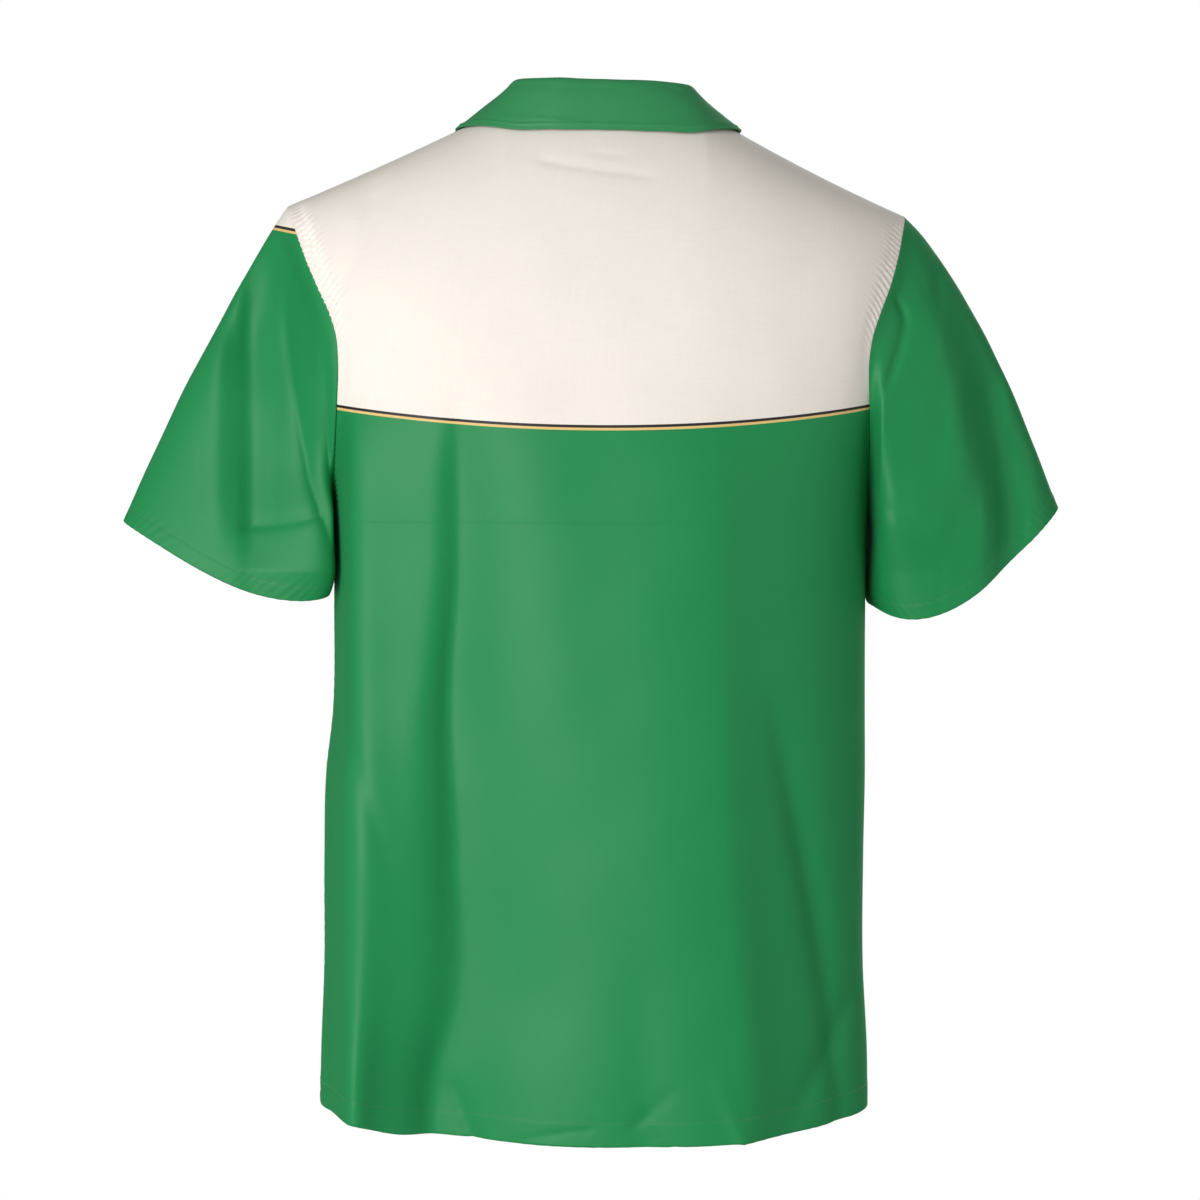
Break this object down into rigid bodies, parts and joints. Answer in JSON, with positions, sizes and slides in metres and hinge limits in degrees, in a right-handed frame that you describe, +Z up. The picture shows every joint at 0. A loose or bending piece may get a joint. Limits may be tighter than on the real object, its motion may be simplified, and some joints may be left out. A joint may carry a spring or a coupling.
{
  "type": "short-sleeved camp-collar hawaiian shirt, filled out with no wearer",
  "caption": "Short-sleeved button-front shirt with an open camp collar, side vents and a two-colour printed body, standing out as worn.",
  "frame": {"origin": "middle of the neck opening, level with the neck seam at the centre back", "axes": "+Z up along the wearer's back, -Y the way the shirt's front faces, +X the wearer's left"},
  "size_m": [0.6942, 0.2386, 0.7676],
  "materials": {
    "body_cloth": "smooth woven polyester with a soft sheen, printed cream above a black and gold line and green below it",
    "collar_cloth": "the same cloth, two layers, plain green",
    "button": "polished, dyed to the cloth"
  },
  "bodies": {
    "root": {"back": "body_cloth", "front_left": "body_cloth", "front_right": "body_cloth", "sleeve_left": "body_cloth", "sleeve_right": "body_cloth", "collar": "collar_cloth", "facing_left": "collar_cloth", "facing_right": "collar_cloth", "button_1": "button", "button_2": "button", "button_3": "button", "button_4": "button", "button_5": "button"}
  },
  "joints": []
}
